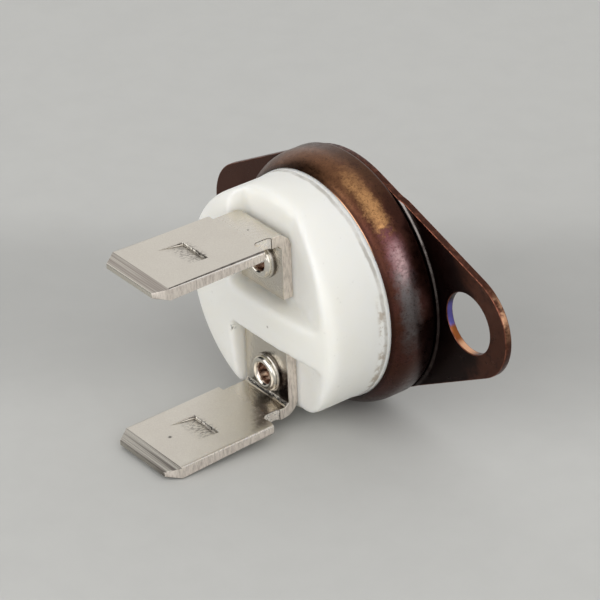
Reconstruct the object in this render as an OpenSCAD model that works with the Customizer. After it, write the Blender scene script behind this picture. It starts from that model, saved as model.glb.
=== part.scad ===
// Bimetal disc thermostat: a ceramic switch body gripped by a drawn copper cap, with a two-ear
// mounting flange and a pair of riveted push-on tabs. Sensing face on z = 0, tabs pointing up,
// ears along x. Millimetres.

/* [Cap] */
// Sheet thickness of the cap
cap_wall = 0.45; // [0.3:0.05:0.6]
// Outer radius of the bead above the flange; the cup, the flange's centre and the body follow it
bead_r = 8.87; // [7.5:0.01:12]
// Step from the bead in to the cup that passes through the flange
bead_step = 0.97; // [0.8:0.01:1.2]
// Rounding round the edge of the sensing face
cup_corner = 0.6; // [0.5:0.1:0.9]
// Rounding of the bead where it rolls over the foot of the body
bead_round = 2.2; // [1.8:0.1:2.6]
// Rounding under the bead, next to the flange
bead_under = 0.3; // [0.1:0.05:0.4]
// How far the rolled edge reaches in from the bead
rim_over = 0.83; // [0.75:0.01:0.95]
// Height of the rolled edge above the sensing face
rim_z = 4; // [3.7:0.1:4.3]

/* [Flange] */
// Distance between the two ear holes
hole_pitch = 24; // [23:0.5:26]
// Diameter of the ear holes
hole_d = 4.3; // [3.2:0.1:4.6]
// End radius of the ears, about the holes
ear_r = 3.75; // [3.2:0.05:4.5]
// How far the flange's centre stays inside the bead
flange_inset = 0.27; // [0:0.01:0.4]
// Sheet thickness of the flange
flange_t = 0.5; // [0.4:0.05:0.8]
// Height of the ears' underside above the sensing face
ear_gap = 0.3; // [0.1:0.05:0.6]
// Radius of the raised centre of the flange
raise_r = 8.85; // [8.7:0.05:9.6]
// Height of the raised centre above the ears
raise_h = 0.1; // [0.05:0.05:0.5]
// Width of the slope round the raised centre
raise_slope = 0.25; // [0.15:0.05:0.5]

/* [Ceramic body] */
// Height of the collar above the rolled rim
collar_h = 0.2; // [0.1:0.05:0.4]
// Height of the bevel from the collar to the wall
collar_bevel = 0.4; // [0.2:0.05:0.6]
// Step from the collar in to the body's wall
wall_step = 0.12; // [0.12:0.02:0.3]
// Height of the floor under the tabs' feet
floor_z = 7.34; // [6.9:0.05:8]
// Rounding of the floor's outer edge
floor_round = 0.6; // [0.3:0.1:1.6]
// Distance from the axis to where the floor starts to rise
ramp_u = 2.5; // [2.45:0.05:4]
// Slope of the rising floor, in degrees
ramp_a = 18; // [5:1:25]
// Height of the barrier above the floor
barrier_h = 1.9; // [1.4:0.1:2.2]
// Rounding of the barrier's outer edge
barrier_round = 0.8; // [0.4:0.1:1.6]
// Drop of the barrier's domed top from the axis to the wall
crown = 0.6; // [0.2:0.1:1]
// Distance from the axis to the head of the barrier
head_u = 2.75; // [2.7:0.05:3.2]
// Width of the ridge between the feet
ridge_w = 2.85; // [2.2:0.05:3]
// Offset of the ridge from the axis
ridge_v = -0.68; // [-0.8:0.02:-0.5]
// Rounding in the corners of the barrier
barrier_fillet = 0.5; // [0.2:0.1:0.8]
// Radius of the flare at the ridge's outer end
flare_r = 1; // [0.5:0.1:2]
// Distance from the axis to the start of the flare
flare_u = 5.7; // [5:0.1:6.2]
// Thickness of the wall round the switch chamber
body_wall = 1.08; // [0.9:0.02:1.2]
// Height of the chamber's roof
roof_z = 5.6; // [5.4:0.1:6]
// Radius of the post that the spring leaf is riveted to
post_r = 1.9; // [1.7:0.1:2.1]
// Turn of the body against the ears, in degrees
body_turn = -4.8; // [-10:0.2:10]

/* [Tabs] */
// Width of the tabs
tab_w = 6.3; // [5.8:0.1:6.3]
// Sheet thickness of the tabs
tab_t = 0.8; // [0.5:0.1:1]
// Height of the tabs from the underside of the foot
tab_h = 11.3; // [9:0.1:14]
// Height of the shoulders from the underside of the foot
shoulder_h = 2.8; // [2.4:0.1:3.4]
// Distance from the body's wall in to the outer face of the lower tab
inset_b = 0.13; // [0:0.01:0.4]
// Outward lean of the upper tab, in degrees
lean_a = 0.4; // [0:0.1:3]
// Outward lean of the lower tab, in degrees
lean_b = 1.8; // [0:0.1:3]
// Length of the feet, from the outer face of the tab
foot_l = 4.9; // [4.6:0.1:5]
// Width of the feet
foot_w = 4.6; // [4:0.1:4.8]
// Sideways offset of the feet
foot_u = -0.25; // [-0.3:0.05:0]
// Inner radius of the bend
bend_r = 0.4; // [0.3:0.05:0.6]
// End radius of the relief notch under one shoulder
relief_r = 0.35; // [0.2:0.05:0.5]
// Length of the relief notch along the neck
relief_l = 1.35; // [1.1:0.05:1.5]
// Depth of the relief notch in the side of the neck
relief_d = 0.2; // [0.1:0.05:0.35]
// Width cut off each corner of the tip
tip_cut_w = 0.65; // [0.3:0.05:1.2]
// Length cut off each corner of the tip
tip_cut_l = 1; // [0.5:0.1:1.5]
// Length of the bevels at the tip
tip_bevel_l = 1; // [0.5:0.1:1.5]
// Depth of the bevels at the tip
tip_bevel = 0.22; // [0.1:0.02:0.24]
// Width of the detents
detent_w = 2.75; // [2:0.05:3.2]
// Length of the detents
detent_l = 1.95; // [1.2:0.05:2.4]
// Depth of the detents at their deep end
detent_d = 0.24; // [0.1:0.02:0.24]
// Distance from the tip to the deep end of the detents
detent_tip = 5.2; // [4.5:0.1:6]

/* [Rivets] */
// Distance from the outer face of a tab to its rivet
rivet_set = 2.58; // [2.5:0.02:2.7]
// Radius of the rivets' shanks
shank_r = 0.9; // [0.8:0.05:0.95]
// Radius of the hollow end of the rivets
hollow_r = 0.7; // [0.5:0.05:0.7]
// Depth of the hollow end
hollow_d = 2; // [1:0.1:2.4]
// Radius of the clinched collar
clinch_r = 1.35; // [1.2:0.05:1.36]
// Thickness of the clinched collar
clinch_t = 0.22; // [0.15:0.01:0.3]
// Section radius of the flared lip
lip_r = 0.28; // [0.2:0.01:0.3]
// Radius of the heads inside the chamber
head_r = 1.5; // [1.3:0.05:1.6]
// Thickness of the heads inside the chamber
head_t = 0.4; // [0.3:0.05:0.5]

/* [Switch] */
// Gap between the bimetal disc and the cup
disc_gap = 0.25; // [0.15:0.01:0.5]
// Thickness of the bimetal disc
disc_t = 0.25; // [0.15:0.05:0.3]
// Rise of the disc's dome, and so the travel of the pin
disc_rise = 0.35; // [0.25:0.05:0.4]
// Thickness of the guide plate
guide_t = 0.65; // [0.5:0.05:0.75]
// Width of the land that holds the disc's edge
land_w = 0.6; // [0.4:0.05:0.8]
// Radius of the boss round the pin
boss_r = 1.75; // [1.5:0.05:1.8]
// Height of the boss above the guide plate
boss_h = 0.4; // [0.2:0.05:0.5]
// Radius of the push pin
pin_r = 1.1; // [0.8:0.05:1.15]
// Bevel on the ends of the push pin
pin_edge = 0.2; // [0.1:0.05:0.4]
// Height of the spring leaf above the guide plate
leaf_lift = 1.1; // [1:0.05:1.2]
// Thickness of the spring leaf
leaf_t = 0.15; // [0.1:0.01:0.2]
// Width of the spring leaf at its foot
leaf_foot_w = 3.2; // [2.8:0.1:3.3]
// Length of the spring leaf's wide foot past its rivet
leaf_foot_l = 1.8; // [1.6:0.1:2.4]
// Width of the spring leaf at its free end
leaf_tip_w = 2.4; // [2:0.1:2.8]
// Distance from the contacts out to the upper rivet
contact_set = 0.57; // [0.4:0.01:0.7]
// Radius of the contacts
contact_r = 0.95; // [0.7:0.05:1]
// Thickness of the moving contact under the leaf
contact_t = 0.25; // [0.15:0.05:0.3]
// Radius of the moving contact's shank
contact_shank_r = 0.5; // [0.3:0.05:0.6]
// Radius of the moving contact's closed head above the leaf
contact_head_r = 0.75; // [0.65:0.05:0.9]
// Thickness of the moving contact's closed head
contact_head_t = 0.15; // [0.1:0.05:0.25]
// Sheet thickness of the fixed contact's carrier
carrier_t = 0.4; // [0.3:0.05:0.45]
// Width of the carrier
carrier_w = 2.8; // [2.4:0.1:3]
// Margin of the carrier's lower arm past the fixed contact
contact_edge = 0.1; // [0.05:0.05:0.2]

/* [Fits] */
// Radial gap between the cup and the flange
cup_gap = 0.05; // [0.02:0.01:0.1]
// Gap between the rolled rim and the body
rim_gap = 0.04; // [0.02:0.01:0.06]
// Gap round the guide plate and the foot of the body
seat_gap = 0.03; // [0.02:0.01:0.06]
// Radial gap of the push pin in its guide
pin_gap = 0.05; // [0.02:0.01:0.08]
// Radial gap of a rivet in its holes
rivet_gap = 0.05; // [0.02:0.01:0.1]
// Gap between the guide plate's boss and the fixed contact's carrier
boss_gap = 0.1; // [0.05:0.05:0.3]
// Gap between the fixed contact's carrier and the guide plate
carrier_gap = 0.15; // [0.1:0.05:0.2]
// Gap between a rivet's head and the carrier's wall
head_gap = 0.15; // [0.1:0.05:0.3]
// Small gap that the loose pieces of the switch rest with
rest_gap = 0.03; // [0.02:0.01:0.05]

/* [Hidden] */
$fn = 96;
past = 1;
edge_ease = 0.06;
bend_ease = 0.01;
flange_top = ear_gap + raise_h + flange_t;
seat_z = flange_top + cap_wall;
guide_top = seat_z + guide_t;
cup_r = bead_r - bead_step;
flange_r = bead_r - flange_inset;
rim_r = bead_r - rim_over;
collar_r = rim_r - rim_gap;
wall_r = collar_r - wall_step;
chamber_r = wall_r - body_wall;
disc_r = cup_r - cap_wall - disc_gap;
contact_v = boss_r + boss_gap + contact_edge + contact_r;
reach_a = contact_v + contact_set + rivet_set;
reach_b = wall_r - inset_b;
bead_c = bead_r - bead_round;
bead_z = rim_z - sqrt(pow(bead_round, 2) - pow(rim_r - bead_c, 2));
foot_r = bead_r - cap_wall - seat_gap;
foot_round = bead_round - cap_wall - seat_gap;
barrier_z = floor_z + barrier_h;
bend_out = bend_r + tab_t;
tab_front = floor_z + tab_t;
rivet_av = reach_a - rivet_set;
rivet_bv = -(reach_b - rivet_set);
rivet_hole_r = shank_r + rivet_gap;
disc_z = cap_wall + rest_gap;
leaf_z = guide_top + leaf_lift;
leaf_top = leaf_z + leaf_t;
carrier_z = roof_z - carrier_t;
contact_z = leaf_z - contact_t;
carrier_low = guide_top + carrier_gap;
carrier_end = rivet_av + head_r + head_gap + carrier_t;
carrier_start = contact_v - contact_r - contact_edge;

// Cuts a round of radius r off the upper outer corner (x, y) of a section
module upper_round(x, y, r) {
    translate([x - r, y - r]) difference() {
        square(r + past);
        circle(r);
    }
}

// Cuts a round of radius r off the lower outer corner (x, y) of a section
module lower_round(x, y, r) {
    mirror([0, 1]) upper_round(x, -y, r);
}

// Section of a round block from z0 to z1 with its upper outer edge rounded
module block_section(r, z0, z1, round) {
    difference() {
        translate([0, z0]) square([r, z1 - z0]);
        upper_round(r, z1, round);
    }
}

// Section of a round block from z0 to z1 at the axis, its domed top rounded into the wall
module domed_section(r, z0, z1, round) {
    dome = (pow(r, 2) + pow(crown, 2)) / (2 * crown);
    x = r - round;
    y = sqrt(pow(dome - round, 2) - pow(x, 2));
    far = round + past;
    translate([0, z1 - dome]) difference() {
        intersection() {
            translate([0, dome - z1 + z0]) square([r, z1 - z0 + past]);
            circle(dome);
        }
        translate([x, y]) difference() {
            polygon([[0, 0], [far, 0], [far, far], far * [x, y] / (dome - round)]);
            circle(round + bend_ease);
        }
    }
}

// Puts a piece in the body's own frame: u across the tabs, v from the lower tab to the upper
module turned() {
    rotate([0, 0, body_turn]) children();
}

// Plan of the barrier: a head along one side and a ridge between the feet that flares at its end
module barrier_plan() {
    far = wall_r + past;
    low = ridge_v - ridge_w / 2;
    high = ridge_v + ridge_w / 2;
    translate([-far, -far]) square([far - head_u, 2 * far]);
    translate([-far, low]) square([2 * far, ridge_w]);
    for (side = [[low, 1], [high, 0]])
        translate([-head_u, side[0]]) mirror([0, side[1]]) difference() {
            square(barrier_fillet);
            translate([barrier_fillet, barrier_fillet]) circle(barrier_fillet);
        }
    translate([flare_u, high]) difference() {
        square([far, flare_r]);
        translate([0, flare_r]) circle(flare_r);
    }
}

// Section of the whole body before its pockets are cut: foot, bevelled collar, wall, domed top
module body_section() {
    domed_section(wall_r, guide_top, barrier_z, barrier_round);
    block_section(foot_r, guide_top, bead_z + foot_round, foot_round);
    polygon([
        [0, guide_top], [collar_r, guide_top], [collar_r, rim_z + collar_h],
        [wall_r, rim_z + collar_h + collar_bevel], [0, rim_z + collar_h + collar_bevel]
    ]);
}

// What is cut away beside the barrier, down to a floor that rises away from the barrier's head
module pockets() {
    far = wall_r + past;
    low = floor_z - floor_round - past;
    end = far + past;
    rise = (end - ramp_u) * tan(ramp_a);
    difference() {
        translate([0, 0, low]) linear_extrude(barrier_z - low + past) difference() {
            translate([-far, -far]) square(2 * far);
            barrier_plan();
        }
        rotate_extrude() block_section(wall_r + edge_ease, low - past, floor_z, floor_round);
        rotate([90, 0, 0]) linear_extrude(2 * end, center = true)
            polygon([[ramp_u, low - past], [ramp_u, floor_z], [end, floor_z + rise], [end, low - past]]);
    }
}

module ceramic_body() {
    color("ivory") difference() {
        rotate_extrude() body_section();
        turned() pockets();
        difference() {
            translate([0, 0, guide_top - past]) cylinder(h = roof_z - guide_top + past, r = chamber_r);
            turned() translate([0, rivet_bv, leaf_top]) cylinder(h = roof_z, r = post_r);
        }
        turned() for (v = [rivet_av, rivet_bv])
            translate([0, v, guide_top]) cylinder(h = floor_z, r = rivet_hole_r);
    }
}

module sensing_cap() {
    color("saddlebrown") rotate_extrude() difference() {
        union() {
            difference() {
                square([cup_r, seat_z]);
                lower_round(cup_r, 0, cup_corner);
            }
            difference() {
                translate([0, flange_top]) block_section(bead_r, 0, bead_z + bead_round - flange_top, bead_round);
                lower_round(bead_r, flange_top, bead_under);
            }
        }
        translate([0, cap_wall]) square([cup_r - cap_wall, seat_z]);
        block_section(bead_r - cap_wall, seat_z, bead_z + bead_round - cap_wall, bead_round - cap_wall);
        translate([0, seat_z]) square([rim_r, bead_z + bead_round]);
    }
}

// Outline of the flange: the centre and the two ears, joined by their common tangents
module flange_plan() {
    ear_x = hole_pitch / 2;
    tilt = acos((flange_r - ear_r) / ear_x);
    mid = flange_r * [cos(tilt), sin(tilt)];
    end = [ear_x, 0] + ear_r * [cos(tilt), sin(tilt)];
    half = [end, mid, [-mid[0], mid[1]], [-end[0], end[1]]];
    circle(flange_r);
    for (side = [-1, 1])
        translate([side * ear_x, 0]) circle(ear_r);
    polygon(concat(half, [for (i = [3 : -1 : 0]) [half[i][0], -half[i][1]]]));
}

// Height of the pressed slope, from 1 at the raised centre to 0 at the ears
function slope_at(s) = (1 + cos(180 * s)) / 2;

module mounting_flange() {
    reach = hole_pitch / 2 + ear_r + past;
    steps = 8;
    slope = [for (i = [0 : steps]) [raise_r + raise_slope * i / steps, ear_gap + raise_h * slope_at(i / steps)]];
    under = concat([[cup_r + cup_gap, ear_gap + raise_h]], slope, [[reach, ear_gap]]);
    over = [for (i = [len(under) - 1 : -1 : 0]) under[i] + [0, flange_t]];
    color("sienna") difference() {
        intersection() {
            linear_extrude(flange_top + past) flange_plan();
            rotate_extrude() polygon(concat(under, over));
        }
        for (side = [-1, 1])
            translate([side * hole_pitch / 2, 0, 0]) cylinder(h = flange_top, d = hole_d);
    }
}

// Outline of a terminal seen along v: neck with a relief notch, shoulders, cut tip corners
module tab_plan() {
    half = tab_w / 2;
    top = tab_h + edge_ease;
    top_half = half - tip_cut_w * (1 + edge_ease / tip_cut_l);
    difference() {
        union() {
            translate([foot_u - foot_w / 2, -past]) square([foot_w, shoulder_h + past]);
            polygon([
                [-half, shoulder_h], [half, shoulder_h], [half, tab_h - tip_cut_l], [top_half, top],
                [-top_half, top], [-half, tab_h - tip_cut_l]
            ]);
        }
        translate([foot_u + foot_w / 2 + relief_r - relief_d, shoulder_h + edge_ease]) {
            translate([0, -relief_r]) circle(relief_r);
            translate([0, relief_r - relief_l]) circle(relief_r);
            translate([-relief_r, relief_r - relief_l]) square([2 * relief_r, relief_l - 2 * relief_r]);
        }
    }
}

// Point of a leaning tab, r out from the axis of its bend and s up along the tab
function tab_at(lean, r, s) = [r * cos(lean) + s * sin(lean), s * cos(lean) - r * sin(lean)];

// How far below the axis of the bend a face at radius r meets the face of the foot
function corner_at(lean, r) = -r * (1 - sin(lean)) / cos(lean);

// Section of a terminal about the axis of its bend: foot, bend, leaning tab with its bevelled tip
module terminal_section(lean) {
    tip = tab_h - bend_out;
    outer = tab_at(lean, bend_out, corner_at(lean, bend_out));
    inner = tab_at(lean, bend_r, corner_at(lean, bend_r));
    mid = tab_t / 2;
    difference() {
        polygon([
            [bend_out - foot_l, -bend_out], outer, tab_at(lean, bend_out, tip - tip_bevel_l),
            tab_at(lean, bend_out - tip_bevel, tip), tab_at(lean, bend_r + tip_bevel, tip),
            tab_at(lean, bend_r, tip - tip_bevel_l), inner, [bend_out - foot_l, -bend_r]
        ]);
        difference() {
            polygon([[0, 0], [0, -bend_out - past], outer + [past, -past], tab_at(lean, bend_out + past, 0)]);
            circle(bend_out + bend_ease);
        }
    }
    difference() {
        polygon([[0, 0], [0, -bend_r - mid], inner + [mid, -mid], tab_at(lean, bend_r + mid, 0)]);
        circle(bend_r + bend_ease);
    }
}

// Sloping detent pressed into one face of the tab
module detent() {
    deep = tab_h - bend_out - detent_tip;
    out = 0.25;
    rotate([90, 0, 90]) linear_extrude(detent_w, center = true) polygon([
        [bend_out - detent_d, deep], [bend_out + out * detent_d, deep],
        [bend_out + out * detent_d, deep + (1 + out) * detent_l]
    ]);
}

// Push-on tab with its riveted foot; the tab stands on the side away from the axis
module terminal(reach, lean) {
    translate([0, reach - bend_out, floor_z + bend_out]) difference() {
        intersection() {
            rotate([90, 0, 90]) linear_extrude(tab_w + 2 * past, center = true) terminal_section(lean);
            translate([0, tab_h, -bend_out]) rotate([90, 0, 0]) linear_extrude(2 * tab_h) tab_plan();
        }
        translate([0, bend_out - rivet_set, -bend_out - past]) cylinder(h = tab_t + 2 * past, r = rivet_hole_r);
        rotate([-lean, 0, 0]) detent();
        rotate([-lean, 0, 0]) translate([0, 2 * bend_out - tab_t, 0]) mirror([0, 1, 0]) detent();
    }
}

module terminal_a() {
    color("silver") turned() terminal(reach_a, lean_a);
}

module terminal_b() {
    color("silver") turned() mirror([0, 1, 0]) terminal(reach_b, lean_b);
}

// Rivet with a solid head at head_z and a clinched hollow end over the tab's foot
module rivet(v, head_z) {
    lip_z = tab_front + lip_r;
    end_z = lip_z + lip_r;
    turned() translate([0, v, 0]) rotate_extrude() difference() {
        union() {
            translate([0, head_z - head_t]) square([head_r, head_t]);
            translate([0, head_z - head_t]) square([shank_r, lip_z - head_z + head_t]);
            translate([0, tab_front]) block_section(clinch_r, 0, clinch_t, clinch_t / 2);
            translate([hollow_r + lip_r - bend_ease, lip_z]) circle(lip_r);
        }
        translate([0, end_z - hollow_d]) square([hollow_r, hollow_d + past]);
    }
}

module rivet_a() {
    color("gainsboro") rivet(rivet_av, carrier_z);
}

module rivet_b() {
    color("gainsboro") rivet(rivet_bv, leaf_z);
}

// Shallow dome, its centre lowest at rest; it snaps over when it is hot
module bimetal_disc() {
    steps = 12;
    dome = [for (i = [0 : steps]) [disc_r * i / steps, disc_z + disc_rise * pow(i / steps, 2)]];
    over = [for (i = [steps : -1 : 0]) dome[i] + [0, disc_t]];
    color("dimgray") rotate_extrude() polygon(concat(dome, over));
}

module guide_plate() {
    edge_z = disc_z + disc_rise + disc_t + rest_gap;
    cup_in = cup_r - cap_wall - seat_gap;
    bore = pin_r + pin_gap;
    color("wheat") rotate_extrude() {
        translate([bore, seat_z]) square([foot_r - bore, guide_t]);
        translate([bore, guide_top]) square([boss_r - bore, boss_h]);
        translate([disc_r - land_w, edge_z]) square([cup_in - disc_r + land_w, seat_z - edge_z]);
    }
}

module push_pin() {
    low = disc_z + disc_t + rest_gap;
    high = leaf_z - rest_gap;
    color("white") rotate_extrude() polygon([
        [0, low], [pin_r - pin_edge, low], [pin_r, low + pin_edge], [pin_r, high - pin_edge],
        [pin_r - pin_edge, high], [0, high]
    ]);
}

module spring_leaf() {
    foot = leaf_foot_w / 2;
    color("goldenrod") turned() translate([0, 0, leaf_z]) linear_extrude(leaf_t) difference() {
        union() {
            translate([0, rivet_bv]) circle(foot);
            translate([-foot, rivet_bv]) square([leaf_foot_w, leaf_foot_l]);
            translate([-leaf_tip_w / 2, rivet_bv]) square([leaf_tip_w, contact_v - rivet_bv]);
            translate([0, contact_v]) circle(leaf_tip_w / 2);
        }
        translate([0, rivet_bv]) circle(rivet_hole_r);
        translate([0, contact_v]) circle(contact_shank_r + rest_gap);
    }
}

module moving_contact() {
    color("silver") turned() translate([0, contact_v, 0]) {
        translate([0, 0, contact_z]) cylinder(h = contact_t, r = contact_r);
        translate([0, 0, contact_z]) cylinder(h = contact_t + leaf_t + contact_head_t, r = contact_shank_r);
        translate([0, 0, leaf_top]) cylinder(h = contact_head_t, r = contact_head_r);
    }
}

module contact_carrier() {
    color("darkgoldenrod") turned() difference() {
        rotate([90, 0, 90]) linear_extrude(carrier_w, center = true) difference() {
            translate([carrier_start, carrier_low]) square([carrier_end - carrier_start, roof_z - carrier_low]);
            translate([carrier_start - past, carrier_low + carrier_t])
                square([carrier_end - carrier_start - carrier_t + past, carrier_z - carrier_low - carrier_t]);
            upper_round(carrier_end, roof_z, carrier_t);
            lower_round(carrier_end, carrier_low, carrier_t);
        }
        translate([0, rivet_av, carrier_z - past]) cylinder(h = carrier_t + 2 * past, r = rivet_hole_r);
    }
}

module fixed_contact() {
    low = carrier_low + carrier_t;
    color("silver") turned() translate([0, contact_v, low])
        cylinder(h = contact_z - rest_gap - low, r = contact_r);
}

ceramic_body();
sensing_cap();
mounting_flange();
terminal_a();
terminal_b();
rivet_a();
rivet_b();
bimetal_disc();
guide_plate();
push_pin();
spring_leaf();
moving_contact();
contact_carrier();
fixed_contact();
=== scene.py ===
"""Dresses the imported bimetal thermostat: fired ceramic, heat-tinted copper, nickel tabs, studio stage."""
import math

import bmesh
import bpy
from bpy.props import FloatProperty, FloatVectorProperty, IntProperty, PointerProperty
from mathutils import Euler, Matrix, Vector


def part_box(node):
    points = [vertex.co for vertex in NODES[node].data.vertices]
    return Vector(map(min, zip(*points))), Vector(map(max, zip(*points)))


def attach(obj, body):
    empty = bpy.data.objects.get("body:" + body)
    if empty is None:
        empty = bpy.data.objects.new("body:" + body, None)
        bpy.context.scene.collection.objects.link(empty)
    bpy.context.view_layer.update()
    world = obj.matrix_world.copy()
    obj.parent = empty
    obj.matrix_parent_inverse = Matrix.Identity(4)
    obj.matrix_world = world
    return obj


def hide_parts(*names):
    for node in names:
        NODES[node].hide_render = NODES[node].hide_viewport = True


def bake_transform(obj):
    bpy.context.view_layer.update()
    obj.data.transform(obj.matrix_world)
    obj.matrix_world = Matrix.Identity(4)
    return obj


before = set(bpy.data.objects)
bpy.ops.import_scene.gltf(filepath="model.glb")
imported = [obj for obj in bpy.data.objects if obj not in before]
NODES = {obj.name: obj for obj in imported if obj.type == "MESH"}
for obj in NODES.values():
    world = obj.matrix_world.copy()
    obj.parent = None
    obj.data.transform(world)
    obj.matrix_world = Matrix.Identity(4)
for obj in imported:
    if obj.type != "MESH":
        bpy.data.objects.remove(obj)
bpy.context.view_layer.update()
MM = 0.001

# Distances in metres within which points are welded and a cut takes a point that is there
WELD = 1e-7
CUT_SLACK = 1e-8

# Turn of the tabs about the axis, with the ways across a tab and from tab to tab
TURN = math.radians(-4.8)
ACROSS = Vector((math.cos(TURN), math.sin(TURN), 0))
ALONG = Vector((-math.sin(TURN), math.cos(TURN), 0))

# A belt is its start, full, fade and end, an area its start and full, in millimetres or degrees of bearing

# Ceramic: dirt line round the foot, dirt beside it, a chip and a speck
FOOT_LINE = (4.2, 4.3, 4.42, 4.56)
FOOT_DIRT_HIGH = (4.2, 4.32, 4.62, 5.0)
FOOT_DIRT_ROUND = (-62, -38, 4, 16)
FOOT_DIRT = (0.38, 0.30, 0.22)
CHIP_AT = (-2.93, -2.55, 9.0)
CHIP_SIZE = 0.42
CHIP = (0.02, 0.018, 0.016)
SPECK_AT = (1.53, -0.76, 9.2)
SPECK_SIZE = 0.14

# Bead: tints by height and bearing, partly laid as painted highlights and sheen, a painted pink highlight,
# soot, painted shade on the lower side, and the bare lip shown as a painted glint
BEAD_HIGHLIGHT_BELT = (1.7, 2.65, 3.0, 3.75)
BEAD_OUTSIDE = (6.8, 7.8)
TAN_ROUND = (45, 70, 110, 150)
GOLD_HIGHLIGHT_HIGH = (2.0, 2.75, 3.0, 3.55)
GOLD_HIGHLIGHT_ROUND = (37, 47, 54, 80)
VIOLET_HIGHLIGHT_ROUND = (12, 26, 32, 44)
STEEL_SHEEN_ROUND = (-22, 0, 16, 30)
PINK_HIGHLIGHT_HIGH = (1.9, 2.65, 2.75, 3.5)
PINK_HIGHLIGHT_ROUND = (12, 24, 28, 38)
PINK_HIGHLIGHT = (0.38, 0.255, 0.255)
SOOT_TOP = (3.75, 3.92)
SOOT_FOOT = (2.4, 1.6)
SHADE_ROUND = (-100, -70, -15, 8)
LIP_GLINT_HIGH = (3.95, 3.99)
LIP_GLINT_ROUND = (30, 42, 60, 72)

# Flange: brown ears, and a painted grey highlight round the edge of the raised centre, widened into a wedge
# near the top
EAR_RADIUS = (11.6, 13.8)
FAR_EAR = (-6.5, -9.0)
RIDGE_HIGHLIGHT_RADIUS = (8.82, 8.95, 9.02, 9.2)
RIDGE_HIGHLIGHT_ROUND = (-10.0, 45.0)
HIGHLIGHT_WEDGE_RADIUS = (8.7, 8.85, 9.1, 9.45)
HIGHLIGHT_WEDGE_ROUND = (30, 42, 52, 60)
HIGHLIGHT_GREY = (0.30, 0.275, 0.26)

# Flange's finishes in the order of their slots, and how far a wall may lean, as a cosine
SHEET_FACE, SHEET_WALL, SHEET_EDGE = range(3)
SHEET_LEAN = 0.3

# Flange's walls: a painted highlight in bare copper's colour on a corner of the ear, and the hole by its
# distance across the ear
EAR_GLINT_AT = (15.2, 1.6, 0.6)
EAR_GLINT_SIZE = 2.2
HOLE_ALONG = (9.5, 9.7, 11.8, 12.6)
HOLE_HALF = (2.3, 2.1)
HOLE_ORANGE_AT = (-0.7, -1.0)
HOLE_COPPER_AT = (-1.6, -1.95)
HOLE_SOOT_AT = (0.5, 1.2)
HOLE_BLUE = (0.12, 0.105, 0.35)
HOLE_ORANGE = (0.27, 0.085, 0.025)

# Tabs' plating: scores behind the detents, nicks, a painted dark reflection at the lower tab's bend and root,
# and where satin begins
SCORE_HIGH = (13.0, 13.45, 14.2, 15.0)
SCORE_ACROSS = (-1.25, -1.0, 1.0, 1.25)
SCORE = (0.12, 0.10, 0.09)
NICKS = (((0.65, 6.02, 9.33), 0.11), ((-0.91, -7.14, 16.11), 0.2))
NICK = (0.03, 0.025, 0.02)
REFLECTION_SLANT = 0.74
REFLECTION_HIGH = (8.4, 9.1, 9.4, 10.3)
REFLECTION_ACROSS = (-1.3, -0.3, 1.8, 2.7)
REFLECTION_FACE = (-7.5, -7.25, -6.6, -6.0)
ROOT_REFLECTION_ACROSS = (0.85, 1.3)
ROOT_REFLECTION_ALONG = (-7.0, -6.6, -4.6, -4.0)
ROOT_REFLECTION_HIGH = (8.6, 8.3)
DARK_REFLECTION = (0.075, 0.053, 0.042)
SATIN_HIGH = (8.9, 10.4)
DENT_HIGH = (10.4, 9.2)

# Tabs' zones in metres: the neck, the tip and the detent below the tip's end, and the least long edge
NECK_LOW = 8.8 * MM
NECK_HIGH = 10.3 * MM
NECK_HALF = 2.04 * MM
TIP_DEPTH = 1.1 * MM
DETENT_TOP = 1.2 * MM
DETENT_DEPTH = 6 * MM
DETENT_SHIFT = 0.25 * MM
DETENT_HALF = 2 * MM
LONG_EDGE = 2.5 * MM

# Tabs' faces by the way they look, as cosines: across the tab, and along it
SHEARED_ACROSS = 0.3
DETENT_ACROSS = 0.6
HIGHLIGHT_ACROSS = 0.8
TIP_ALONG = 0.1
DETENT_ALONG = 0.5
SQUARE = 0.9
SKEWED = 0.1

# Tabs' marks: the colour of the painted highlight along the burr, and how fine the struck tool lines are each
# way
HIGHLIGHT_WHITE = (0.9, 0.86, 0.8)
TIP_LINES = (0.05, 0.05, 7)
DETENT_LINES = (5, 1.2, 5)

# Tabs' finishes in the order of their slots, among them a painted highlight and painted shade, and each tab's
# tip and near edge
PLATE, SHEAR, STRUCK_TIP, STRUCK_DETENT, PAINTED_HIGHLIGHT, PAINTED_SHADE, DARKER_TIP = range(7)
TAB_TIP_AND_EDGE = {"terminal_a": (STRUCK_TIP, PAINTED_SHADE), "terminal_b": (DARKER_TIP, PLATE)}

# Rivets: lip, a painted dark reflection on the collar below it, and the hollow end
RIVET_LIP = (0.82, 0.78, 0.71)
COLLAR_REFLECTION = (0.10, 0.08, 0.07)
COLLAR_REFLECTION_DEPTH = (0.3, 0.45)
BORE_RADIUS = (0.82, 0.72)
BORE_LIGHT = (0.80, 0.70, 0.62)
BORE_BROWN = (0.20, 0.10, 0.07)

# Inner pieces: light and dark shade of each material
BIMETAL = (0.42, 0.38, 0.33), (0.26, 0.23, 0.20)
GUIDE = (0.72, 0.64, 0.53), (0.60, 0.52, 0.42)
PIN = (0.80, 0.79, 0.75), (0.68, 0.66, 0.62)
BRONZE = (0.66, 0.44, 0.20), (0.44, 0.27, 0.11)
SILVER = (0.80, 0.78, 0.74), (0.58, 0.55, 0.51)

# Inner shapes in metres: the pin's bevelled edge and domed end, and the leaf's flat stretch past its rivet
# and the stretch cut across after it
PIN_EDGE = 0.2 * MM
PIN_DOME = 6 * MM
PIN_RINGS = 8
PIN_STEPS = 48
LEAF_CLAMP = 1.6 * MM
LEAF_BEND = 1.0 * MM
LEAF_CUTS = 10

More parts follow.
